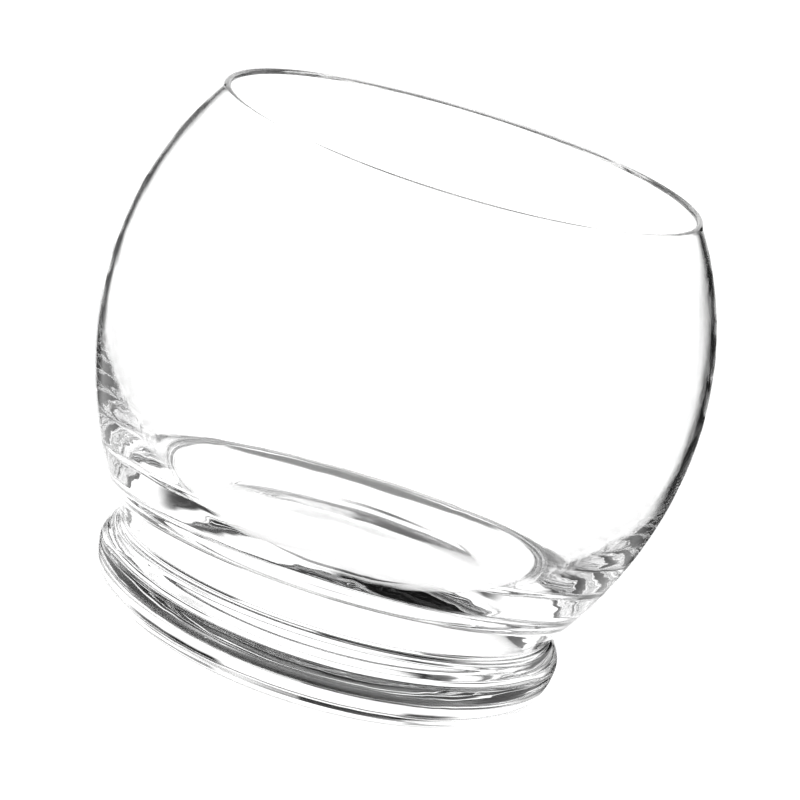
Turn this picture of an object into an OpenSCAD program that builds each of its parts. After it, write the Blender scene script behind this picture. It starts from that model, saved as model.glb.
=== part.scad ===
// Rocking whisky tumbler: a thin round bowl on a thick rounded foot.
// Millimetres, +Z up. The origin is on the table, under the centre of the glass.

/* [Overall size] */
// Height from the table to the top of the rim
height = 88; // [85:0.5:92]
// Widest diameter of the bowl
belly_d = 98.4; // [95:0.2:102]
// Height of the bowl's widest circle above the table
belly_z = 55.5; // [53:0.5:58]
// Outside diameter of the rounded rim
rim_d = 78.8; // [74:0.2:84]

/* [Bowl] */
// Thickness of the wall from the rim down to the widest circle
wall = 1.1; // [0.9:0.1:2]
// Height of the floor inside the bowl above the table
floor_z = 22.8; // [21:0.1:24.5]
// Radius of the inside wall just below the widest circle
cavity_side_r = 60; // [55:1:66]
// Height at which the inside wall starts to turn in more tightly
cavity_turn_z = 47.1; // [45:0.1:50]
// Radius of the inside wall below that height
cavity_turn_r = 38.4; // [36:0.1:42]
// Radius of the bend from the inside wall into the floor
floor_bend_r = 10; // [6:0.5:14]

/* [Crease] */
// Diameter at the bottom of the rounded crease between the bowl and the foot
neck_d = 72; // [70:0.5:73]
// Height of the crease above the table, where the foot is fused to the bowl
waist_z = 15.8; // [15:0.1:17]
// Radius of the rounding in the crease
crease_r = 1.6; // [0.8:0.1:2.4]

/* [Foot] */
// Widest diameter of the foot
foot_d = 77; // [76:0.5:79]
// Height of the foot's widest circle above the table
foot_z = 11.4; // [11.2:0.1:12]
// Radius of the foot's side just below its widest circle
foot_side_r = 9; // [8.4:0.1:9.2]
// Outside diameter of the flat ring that the glass stands on
stand_d = 50; // [49.2:0.2:51]
// Angle at which the rounded underside leaves that ring
stand_slope = 12; // [10:1:13]
// Diameter of the shallow hollow in the middle of the underside
punt_d = 48.8; // [40:0.2:48.8]
// Depth of that hollow at its centre
punt_depth = 1.6; // [0.5:0.1:3]

/* [Hidden] */

// Colour of clear glass
clear_glass = [0.86, 0.92, 0.94, 0.4];
// Steps round every circle
steps = 240;
// How far a cutting shape reaches past what it cuts
past = 2;
// How far each lower arc inside the bowl stands proud of the one above, so that they cross without a step
proud = 0.001;

// Radius of an arc that starts upright and moves in by run over a height of rise
function arc_radius(run, rise) = (run * run + rise * rise) / (2 * run);

belly_r = belly_d / 2;
neck_r = neck_d / 2;
foot_r = foot_d / 2;
stand_r = stand_d / 2;
punt_r = punt_d / 2;

// The upper wall follows one arc, from the widest circle to the middle of the rim
lip_r = wall / 2;
rim_rise = height - lip_r - belly_z;
wall_mid_r = arc_radius(belly_r - rim_d / 2, rim_rise);
upper_center_r = belly_r - lip_r - wall_mid_r;
lip_lean = asin(rim_rise / wall_mid_r);
lip_center = [upper_center_r + wall_mid_r * cos(lip_lean), height - lip_r];

// The rounded crease follows this circle, just above and just below the waist
crease_center = [neck_r + crease_r, waist_z];

// Radius of a side that bulges out to side_r at a height of rise from the waist and meets the crease smoothly
function side_radius(side_r, rise) =
    (pow(side_r - crease_center[0], 2) + rise * rise - crease_r * crease_r) / (2 * (side_r - neck_r));

// Point where the crease meets a side whose arc has this center
function crease_touch(center) =
    crease_center + (center - crease_center) * crease_r / norm(center - crease_center);

// The outside of the bowl below the widest circle
lower_side_r = side_radius(belly_r, belly_z - waist_z);
lower_center = [belly_r - lower_side_r, belly_z];
lower_touch = crease_touch(lower_center);

// The inside of the bowl below the widest circle: a long arc, then a tighter one
cavity_center_r = belly_r - wall - cavity_side_r;
turn_lean = asin((belly_z - cavity_turn_z) / cavity_side_r);
turn_shift = cavity_side_r - cavity_turn_r;
turn_center = [cavity_center_r + turn_shift * cos(turn_lean), belly_z - turn_shift * sin(turn_lean)];

// The bend into the floor
bend_center_z = floor_z + floor_bend_r;
bend_gap = cavity_turn_r - floor_bend_r;
bend_drop = turn_center[1] - bend_center_z;
bend_center_r = turn_center[0] + sqrt(bend_gap * bend_gap - bend_drop * bend_drop);
bend_top_z = turn_center[1] - cavity_turn_r * bend_drop / bend_gap;

// The foot above its widest circle
foot_top_r = side_radius(foot_r, waist_z - foot_z);
foot_top_center = [foot_r - foot_top_r, foot_z];
foot_touch = crease_touch(foot_top_center);

// The foot below it, and the rounded underside that runs from there to the standing ring
foot_center_r = foot_r - foot_side_r;
stand_run = foot_center_r - stand_r;
rocker_fall = foot_z * cos(stand_slope) - stand_run * sin(stand_slope) - foot_side_r;
rocker_r = (stand_run * stand_run + foot_z * foot_z - foot_side_r * foot_side_r) / (2 * rocker_fall);
rocker_center = [stand_r - rocker_r * sin(stand_slope), rocker_r * cos(stand_slope)];
rocker_top_z = rocker_center[1] + (foot_z - rocker_center[1]) * rocker_r / (rocker_r - foot_side_r);

// The hollow under the foot is part of a large ball
punt_ball_r = arc_radius(punt_depth, punt_r);

// Half section from the axis out to the right side of a circle, between two heights
module band(center_r, center_z, radius, z_low, z_high) {
    intersection() {
        union() {
            translate([center_r, center_z]) circle(r = radius, $fn = steps);
            if (center_r > 0) translate([0, z_low]) square([center_r, z_high - z_low]);
        }
        translate([0, z_low]) square([center_r + radius + past, z_high - z_low]);
    }
}

// Half section from the axis out to the crease, between the waist and the point where the crease ends
module neck(touch) {
    low_z = min(touch[1], waist_z);
    difference() {
        translate([0, low_z]) square([touch[0], abs(touch[1] - waist_z)]);
        translate(crease_center) circle(r = crease_r, $fn = steps);
    }
}

// Half section of the bowl's outside, as a solid shape
module bowl_outside() {
    band(upper_center_r, belly_z, wall_mid_r + lip_r, belly_z, height);
    band(lower_center[0], belly_z, lower_side_r, waist_z, belly_z);
    neck(lower_touch);
}

// Half section of the space inside the bowl
module cavity() {
    band(upper_center_r, belly_z, wall_mid_r - lip_r, belly_z, height + past);
    band(cavity_center_r, belly_z, cavity_side_r, cavity_turn_z, belly_z);
    band(turn_center[0], turn_center[1], cavity_turn_r + proud, bend_top_z, belly_z);
    band(bend_center_r, bend_center_z, floor_bend_r + 2 * proud, floor_z, cavity_turn_z);
}

// Everything beyond the middle of the lip, cut square across the wall
module above_lip() {
    translate(lip_center) rotate(lip_lean) translate([-wall * past, 0]) square(wall * 2 * past);
}

// Blown bowl: thin wall, thick bottom, and a fire-polished round lip
module bowl() {
    color(clear_glass) rotate_extrude($fn = steps) {
        difference() {
            bowl_outside();
            cavity();
            above_lip();
        }
        translate(lip_center) circle(r = lip_r, $fn = steps);
    }
}

// Pressed foot: solid glass with a rounded side, a curved rocking edge and a shallow hollow below
module foot() {
    color(clear_glass) rotate_extrude($fn = steps) {
        difference() {
            union() {
                neck(foot_touch);
                band(foot_top_center[0], foot_z, foot_top_r, foot_z, waist_z);
                band(foot_center_r, foot_z, foot_side_r, rocker_top_z, foot_z);
                band(rocker_center[0], rocker_center[1], rocker_r, 0, rocker_top_z);
            }
            translate([0, punt_depth - punt_ball_r]) circle(r = punt_ball_r, $fn = steps);
        }
    }
}

bowl();
foot();
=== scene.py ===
import math

import bmesh
import bpy
from mathutils import Matrix, Vector

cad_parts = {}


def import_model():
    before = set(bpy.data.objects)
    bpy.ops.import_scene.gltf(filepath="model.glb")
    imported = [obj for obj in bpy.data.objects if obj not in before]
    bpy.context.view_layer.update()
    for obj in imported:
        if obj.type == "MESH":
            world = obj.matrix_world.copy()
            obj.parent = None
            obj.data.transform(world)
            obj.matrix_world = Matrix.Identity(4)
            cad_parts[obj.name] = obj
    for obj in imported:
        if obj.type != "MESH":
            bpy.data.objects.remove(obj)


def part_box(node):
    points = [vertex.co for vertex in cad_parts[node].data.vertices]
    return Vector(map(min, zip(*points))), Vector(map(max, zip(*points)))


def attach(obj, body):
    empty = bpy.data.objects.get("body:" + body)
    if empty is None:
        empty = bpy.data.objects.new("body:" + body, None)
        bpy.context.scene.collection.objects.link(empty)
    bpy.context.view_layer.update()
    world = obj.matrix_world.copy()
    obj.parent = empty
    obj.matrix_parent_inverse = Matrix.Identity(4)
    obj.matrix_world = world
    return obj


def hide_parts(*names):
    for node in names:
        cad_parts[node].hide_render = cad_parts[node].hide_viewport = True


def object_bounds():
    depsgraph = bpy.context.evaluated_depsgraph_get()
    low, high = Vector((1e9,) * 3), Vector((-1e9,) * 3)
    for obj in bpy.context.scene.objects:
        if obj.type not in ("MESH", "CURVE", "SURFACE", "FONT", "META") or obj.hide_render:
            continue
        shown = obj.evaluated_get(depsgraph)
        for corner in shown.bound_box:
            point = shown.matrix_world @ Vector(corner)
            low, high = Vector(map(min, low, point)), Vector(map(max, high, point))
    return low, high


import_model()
cad_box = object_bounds()

MM = 0.001

GLASS_IOR = 1.52
BOWL_WAVE_LENGTH = 9 * MM
FOOT_WAVE_LENGTH = 7 * MM
WAVE_HEIGHT = 0.03 * MM
# The waves in the surface are this much shorter up and down than round the glass
WAVE_FLATNESS = 1.6

# The glass, in metres. Heights are above the table.
cad_low, cad_high = cad_box
HEIGHT = cad_high.z
BELLY_R = -cad_low.x
BELLY_Z = 55.5 * MM
RIM_R = 39.4 * MM
WALL = 1.1 * MM
NECK_R = 36 * MM
CREASE_R = 1.6 * MM
WAIST_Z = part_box("foot")[1].z
FLOOR_Z = 22.8 * MM
CAVITY_SIDE_R = 60 * MM
CAVITY_TURN_Z = 47.1 * MM
CAVITY_TURN_R = 38.4 * MM
FLOOR_BEND_R = 10 * MM
FOOT_R = 38.5 * MM
FOOT_Z = 11.4 * MM
FOOT_SIDE_R = 9 * MM
STAND_R = 25 * MM
STAND_SLOPE = math.radians(12)
PUNT_R = 24.4 * MM
PUNT_DEPTH = 1.6 * MM

# How the photographer's camera stands to the glass
CAMERA_DISTANCE = 0.709
CAMERA_RISE = math.radians(13.5)
CAMERA_ROLL = math.radians(17.0)
CAMERA_AIM = Vector((1.7 * MM, 0, 46 * MM))
CAMERA_LENS = 199.4

# Faces round each piece, and the sharpest fold between two faces that is still shaded smooth
AROUND = 256
SMOOTH_FOLD = math.radians(20)
# Spans along each stretch of an outline
LONG_ARC = 60
WALL_ARC = 50
CREASE_ARC = 24
PUNT_ARC = 24
SHORT_ARC = 16
FLOOR_RINGS = 4
STAND_RINGS = 2
# Two outline points closer than this are the same point
SAME_POINT = 1e-7

# The studio stands still, whatever view is rendered. The tent is a little brighter than the background,
# because the glass takes some of its light.
WHITE = 1.15
TENT_WHITE = 1.25
TENT_R = 8
FLOOR_SIZE = 6
FLOOR_GAP = 0.2 * MM
PICTURE_GAMMA = 0.8
LIGHT_BOUNCES = 128

# Edges of the tent's dark zones in degrees, each from where the change starts to where it is complete.
# LEFT and RIGHT are turned from straight behind the glass, and UP is measured from level.
REAR_LEFT = (65, 85)
REAR_RIGHT = (95, 120)
REAR_UP = (-30, -12)
HIGH_LEFT_UP = (40, 52)
HIGH_LEFT_START = (-4, 4)
HIGH_LEFT_END = (70, 90)
OVERHEAD_UP = (68, 80)
UNDERFOOT_UP = (-57, -51)
SIDE_UP_START = (-24, -18)
SIDE_UP_END = (2, 9)
SIDE_RIGHT_START = (13, 16)
SIDE_RIGHT_END = (34, 44)
SIDE_LEFT_START = (17, 20)
SIDE_LEFT_END = (26, 34)

# How much of the tent's light each zone takes away
REAR_LEFT_DARK = 0.995
REAR_RIGHT_DARK = 0.97
HIGH_LEFT_DARK = 0.99
OVERHEAD_DARK = 0.6
UNDERFOOT_DARK = 0.97
SIDE_RIGHT_DARK = 0.98
SIDE_LEFT_DARK = 0.9


# ---------------------------------------------------------------- outlines

def arc_radius(run, rise):
    """Radius of an arc that starts upright and moves in by run over a height of rise."""
    return (run * run + rise * rise) / (2 * run)


def arc(center, radius, start, end, steps):
    """Points on a circle in the (r, z) half plane, both ends included, with angles in radians."""
    turn = (end - start) / steps
    return [(center[0] + radius * math.cos(start + turn * i),
             center[1] + radius * math.sin(start + turn * i)) for i in range(steps + 1)]


def straight(start, end, steps):
    return [(start[0] + (end[0] - start[0]) * i / steps,
             start[1] + (end[1] - start[1]) * i / steps) for i in range(steps + 1)]


def joined(*stretches):
    """One outline from several, without the doubled point at each join."""
    points = []
    for stretch in stretches:
        for p in stretch:
            if not points or math.dist(p, points[-1]) > SAME_POINT:
                points.append(p)
    return points


def crease_arc(side_r, side_z):
    """The half of the rounded crease from the neck to a side that bulges out to side_r at side_z.
    Also gives the side's own arc radius and center, and the angle at which its arc starts."""
    crease = (NECK_R + CREASE_R, WAIST_Z)
    run = side_r - crease[0]
    rise = side_z - WAIST_Z
    radius = (run * run + rise * rise - CREASE_R * CREASE_R) / (2 * (side_r - NECK_R))
    center = (side_r - radius, side_z)
    touch = math.atan2(center[1] - crease[1], center[0] - crease[0])
    if touch < 0:
        touch += 2 * math.pi
    return arc(crease, CREASE_R, math.pi, touch, CREASE_ARC), radius, center, touch - math.pi


def bowl_outline():
    lip_r = WALL / 2
    rim_rise = HEIGHT - lip_r - BELLY_Z
    mid_r = arc_radius(BELLY_R - RIM_R, rim_rise)
    upper = (BELLY_R - lip_r - mid_r, BELLY_Z)
    lean = math.asin(rim_rise / mid_r)
    lip = (upper[0] + mid_r * math.cos(lean), HEIGHT - lip_r)

    crease, side_r, side, waist_angle = crease_arc(BELLY_R, BELLY_Z)

    cavity = (BELLY_R - WALL - CAVITY_SIDE_R, BELLY_Z)
    turn_angle = -math.asin((BELLY_Z - CAVITY_TURN_Z) / CAVITY_SIDE_R)
    turn = (cavity[0] + (CAVITY_SIDE_R - CAVITY_TURN_R) * math.cos(turn_angle),
            cavity[1] + (CAVITY_SIDE_R - CAVITY_TURN_R) * math.sin(turn_angle))
    bend_z = FLOOR_Z + FLOOR_BEND_R
    gap = CAVITY_TURN_R - FLOOR_BEND_R
    drop = turn[1] - bend_z
    bend = (turn[0] + math.sqrt(gap * gap - drop * drop), bend_z)
    bend_angle = -math.asin(drop / gap)
    return joined(
        straight((0, WAIST_Z), (NECK_R, WAIST_Z), 1),
        crease,
        arc(side, side_r, waist_angle, 0, LONG_ARC),
        arc(upper, mid_r + lip_r, 0, lean, WALL_ARC),
        arc(lip, lip_r, lean, lean + math.pi, SHORT_ARC),
        arc(upper, mid_r - lip_r, lean, 0, WALL_ARC),
        arc(cavity, CAVITY_SIDE_R, 0, turn_angle, SHORT_ARC),
        arc(turn, CAVITY_TURN_R, turn_angle, bend_angle, LONG_ARC),
        arc(bend, FLOOR_BEND_R, bend_angle, -math.pi / 2, LONG_ARC),
        straight((bend[0], FLOOR_Z), (0, FLOOR_Z), FLOOR_RINGS))


def foot_outline():
    crease, upper_r, upper, top_angle = crease_arc(FOOT_R, FOOT_Z)
    side = (FOOT_R - FOOT_SIDE_R, FOOT_Z)
    run = side[0] - STAND_R
    rocker_r = ((run * run + FOOT_Z * FOOT_Z - FOOT_SIDE_R * FOOT_SIDE_R)
                / (2 * (FOOT_Z * math.cos(STAND_SLOPE) - run * math.sin(STAND_SLOPE) - FOOT_SIDE_R)))
    rocker = (STAND_R - rocker_r * math.sin(STAND_SLOPE), rocker_r * math.cos(STAND_SLOPE))
    touch = math.atan2(side[1] - rocker[1], side[0] - rocker[0])
    punt_ball_r = arc_radius(PUNT_DEPTH, PUNT_R)
    punt_angle = math.asin(PUNT_R / punt_ball_r)
    up = math.pi / 2
    return joined(
        straight((0, WAIST_Z), (NECK_R, WAIST_Z), 1),
        crease,
        arc(upper, upper_r, top_angle, 0, LONG_ARC),
        arc(side, FOOT_SIDE_R, 0, touch, LONG_ARC),
        arc(rocker, rocker_r, touch, STAND_SLOPE - up, LONG_ARC),
        straight((STAND_R, 0), (PUNT_R, 0), STAND_RINGS),
        arc((0, PUNT_DEPTH - punt_ball_r), punt_ball_r, up - punt_angle, up, PUNT_ARC))


# ---------------------------------------------------------------- meshes

def lathe(name, outline, seam_faces):
    """A closed solid of revolution, from an outline that runs from axis to axis.
    The outline's first seam_faces spans get the second material."""
    bm = bmesh.new()
    rings = []
    for r, z in outline:
        if r < SAME_POINT:
            rings.append([bm.verts.new((0, 0, z))])
            continue
        ring = []
        for i in range(AROUND):
            a = 2 * math.pi * i / AROUND
            ring.append(bm.verts.new((r * math.cos(a), r * math.sin(a), z)))
        rings.append(ring)
    for span, (low, high) in enumerate(zip(rings, rings[1:])):
        for i in range(AROUND):
            j = (i + 1) % AROUND
            if len(low) == 1:
                corners = (low[0], high[i], high[j])
            elif len(high) == 1:
                corners = (low[i], low[j], high[0])
            else:
                corners = (low[i], low[j], high[j], high[i])
            face = bm.faces.new(corners)
            face.smooth = True
            face.material_index = 1 if span < seam_faces else 0
    bmesh.ops.recalc_face_normals(bm, faces=bm.faces)
    mesh = bpy.data.meshes.new(name)
    bm.to_mesh(mesh)
    bm.free()
    mesh.set_sharp_from_angle(angle=SMOOTH_FOLD)
    piece = bpy.data.objects.new(name, mesh)
    bpy.context.scene.collection.objects.link(piece)
    return piece


# ---------------------------------------------------------------- materials

def new_material(name):
    material = bpy.data.materials.new(name)
    material.use_nodes = True
    material.node_tree.nodes.clear()
    return material, material.node_tree.nodes, material.node_tree.links


def glass(name, wave_length, wave_height):
    """Clear glass whose surface keeps the faint waviness of its mould. Both lengths are in metres."""
    material, nodes, links = new_material(name)
    out = nodes.new("ShaderNodeOutputMaterial")
    shader = nodes.new("ShaderNodeBsdfPrincipled")
    shader.inputs["Base Color"].default_value = (1, 1, 1, 1)
    shader.inputs["Roughness"].default_value = 0
    shader.inputs["IOR"].default_value = GLASS_IOR
    shader.inputs["Transmission Weight"].default_value = 1

    place = nodes.new("ShaderNodeTexCoord")
    flatten = nodes.new("ShaderNodeVectorMath")
    flatten.operation = "MULTIPLY"
    flatten.inputs[1].default_value = (1, 1, WAVE_FLATNESS)
    waves = nodes.new("ShaderNodeTexNoise")
    waves.inputs["Scale"].default_value = 1 / wave_length
    waves.inputs["Detail"].default_value = 1
    waves.inputs["Roughness"].default_value = 0.35
    waves.inputs["Distortion"].default_value = 0.6
    bump = nodes.new("ShaderNodeBump")
    bump.inputs["Distance"].default_value = wave_height
    links.new(place.outputs["Object"], flatten.inputs[0])
    links.new(flatten.outputs["Vector"], waves.inputs["Vector"])
    links.new(waves.outputs["Fac"], bump.inputs["Height"])
    links.new(bump.outputs["Normal"], shader.inputs["Normal"])
    links.new(shader.outputs["BSDF"], out.inputs["Surface"])
    return material


def fused_seam():
    material, nodes, links = new_material("fused_seam")
    out = nodes.new("ShaderNodeOutputMaterial")
    clear = nodes.new("ShaderNodeBsdfTransparent")
    links.new(clear.outputs["BSDF"], out.inputs["Surface"])
    return material


def plain(name, color, strength):
    material, nodes, links = new_material(name)
    out = nodes.new("ShaderNodeOutputMaterial")
    light = nodes.new("ShaderNodeEmission")
    light.inputs["Color"].default_value = (*color, 1)
    light.inputs["Strength"].default_value = strength
    links.new(light.outputs["Emission"], out.inputs["Surface"])
    return material


# ---------------------------------------------------------------- camera

def aim_camera():
    data = bpy.data.cameras.new("camera")
    data.lens = CAMERA_LENS
    data.sensor_width = 36
    data.clip_start = 0.01
    data.clip_end = 20
    camera = bpy.data.objects.new("camera", data)
    bpy.context.scene.collection.objects.link(camera)
    back = Vector((0, -math.cos(CAMERA_RISE), math.sin(CAMERA_RISE)))
    look = (-back).to_track_quat("-Z", "Y").to_matrix().to_4x4()
    roll = Matrix.Rotation(CAMERA_ROLL, 4, "Z")
    camera.matrix_world = Matrix.Translation(CAMERA_AIM + back * CAMERA_DISTANCE) @ look @ roll
    bpy.context.scene.camera = camera


# ---------------------------------------------------------------- studio

class Maths:
    """Writes arithmetic as Math nodes, one call per operation."""

    def __init__(self, nodes, links):
        self.nodes = nodes
        self.links = links

    def put(self, socket, value):
        if isinstance(value, (int, float)):
            socket.default_value = value
        else:
            self.links.new(value, socket)

    def op(self, operation, *values):
        node = self.nodes.new("ShaderNodeMath")
        node.operation = operation
        for socket, value in zip(node.inputs, values):
            self.put(socket, value)
        return node.outputs[0]

    def step(self, edge, value):
        """0 below the edge, 1 above it, with a smooth rise across it."""
        node = self.nodes.new("ShaderNodeMapRange")
        node.interpolation_type = "SMOOTHSTEP"
        self.put(node.inputs["Value"], value)
        node.inputs["From Min"].default_value = edge[0]
        node.inputs["From Max"].default_value = edge[1]
        return node.outputs["Result"]

    def times(self, *values):
        total = values[0]
        for value in values[1:]:
            total = self.op("MULTIPLY", total, value)
        return total

    def between(self, start, end, value):
        """1 from the start edge to the end edge, and 0 outside them."""
        return self.times(self.step(start, value), self.fade(1, self.step(end, value)))

    def fade(self, amount, value):
        """One minus amount times value."""
        return self.op("SUBTRACT", 1, self.op("MULTIPLY", amount, value))


def studio_light():
    """White studio tent with dark zones. +Y is away from the photographer, +X right, +Z up."""
    material, nodes, links = new_material("studio_tent")
    m = Maths(nodes, links)
    out = nodes.new("ShaderNodeOutputMaterial")
    light = nodes.new("ShaderNodeEmission")
    place = nodes.new("ShaderNodeTexCoord")
    unit = nodes.new("ShaderNodeVectorMath")
    unit.operation = "NORMALIZE"
    links.new(place.outputs["Object"], unit.inputs[0])
    split = nodes.new("ShaderNodeSeparateXYZ")
    links.new(unit.outputs["Vector"], split.inputs["Vector"])
    x, y, z = split.outputs
    degrees = 180 / math.pi
    across = m.op("MULTIPLY", m.op("ARCTAN2", x, y), degrees)
    up = m.op("MULTIPLY", m.op("ARCSINE", z), degrees)
    left = m.op("MULTIPLY", across, -1)

    above_floor = m.step(REAR_UP, up)
    rear_left = m.times(m.step(REAR_LEFT, left), above_floor)
    rear_right = m.times(m.step(REAR_RIGHT, across), above_floor)
    high_left = m.times(m.step(HIGH_LEFT_UP, up), m.between(HIGH_LEFT_START, HIGH_LEFT_END, left))
    overhead = m.step(OVERHEAD_UP, up)
    underfoot = m.fade(1, m.step(UNDERFOOT_UP, up))
    side_height = m.between(SIDE_UP_START, SIDE_UP_END, up)
    side_right = m.times(m.between(SIDE_RIGHT_START, SIDE_RIGHT_END, across), side_height)
    side_left = m.times(m.between(SIDE_LEFT_START, SIDE_LEFT_END, left), side_height)
    glow = m.times(TENT_WHITE,
                   m.fade(REAR_LEFT_DARK, rear_left), m.fade(REAR_RIGHT_DARK, rear_right),
                   m.fade(HIGH_LEFT_DARK, high_left), m.fade(OVERHEAD_DARK, overhead),
                   m.fade(UNDERFOOT_DARK, underfoot),
                   m.fade(SIDE_RIGHT_DARK, side_right), m.fade(SIDE_LEFT_DARK, side_left))
    links.new(glow, light.inputs["Strength"])
    links.new(light.outputs["Emission"], out.inputs["Surface"])
    material.cycles.emission_sampling = "NONE"
    return material


def tent():
    """An upright dome that stands still round the set and is seen only through and in the glass."""
    bm = bmesh.new()
    bmesh.ops.create_icosphere(bm, subdivisions=5, radius=TENT_R)
    mesh = bpy.data.meshes.new("tent")
    bm.to_mesh(mesh)
    bm.free()
    obj = bpy.data.objects.new("tent", mesh)
    bpy.context.scene.collection.objects.link(obj)
    mesh.materials.append(studio_light())
    obj.visible_camera = False
    obj.visible_shadow = False
    obj.visible_diffuse = False
    obj.location = CAMERA_AIM


def floor():
    mesh = bpy.data.meshes.new("floor")
    s = FLOOR_SIZE / 2
    mesh.from_pydata([(-s, -s, 0), (s, -s, 0), (s, s, 0), (-s, s, 0)], [], [(0, 1, 2, 3)])
    obj = bpy.data.objects.new("floor", mesh)
    obj.location.z = -FLOOR_GAP
    bpy.context.scene.collection.objects.link(obj)
    mesh.materials.append(plain("floor_white", (1, 1, 1), WHITE))
    obj.visible_transmission = False
    obj.visible_glossy = False
    obj.visible_diffuse = False
    obj.visible_shadow = False


def world():
    w = bpy.data.worlds.new("studio")
    bpy.context.scene.world = w
    w.use_nodes = True
    nodes, links = w.node_tree.nodes, w.node_tree.links
    nodes.clear()
    out = nodes.new("ShaderNodeOutputWorld")
    background = nodes.new("ShaderNodeBackground")
    background.inputs["Color"].default_value = (1, 1, 1, 1)
    background.inputs["Strength"].default_value = WHITE
    links.new(background.outputs["Background"], out.inputs["Surface"])


scene = bpy.context.scene
scene.view_settings.view_transform = "Standard"
scene.view_settings.gamma = PICTURE_GAMMA
scene.cycles.max_bounces = LIGHT_BOUNCES
scene.cycles.glossy_bounces = LIGHT_BOUNCES
scene.cycles.transmission_bounces = LIGHT_BOUNCES
scene.cycles.transparent_max_bounces = LIGHT_BOUNCES
aim_camera()
tent()
floor()
world()

bowl = lathe("glass_bowl", bowl_outline(), 1)
bowl.data.materials.append(glass("bowl_glass", BOWL_WAVE_LENGTH, WAVE_HEIGHT))
seam = fused_seam()
bowl.data.materials.append(seam)
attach(bowl, "root")
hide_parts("bowl")

foot = lathe("glass_foot", foot_outline(), 1)
foot.data.materials.append(glass("foot_glass", FOOT_WAVE_LENGTH, WAVE_HEIGHT))
foot.data.materials.append(seam)
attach(foot, "root")
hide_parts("foot")
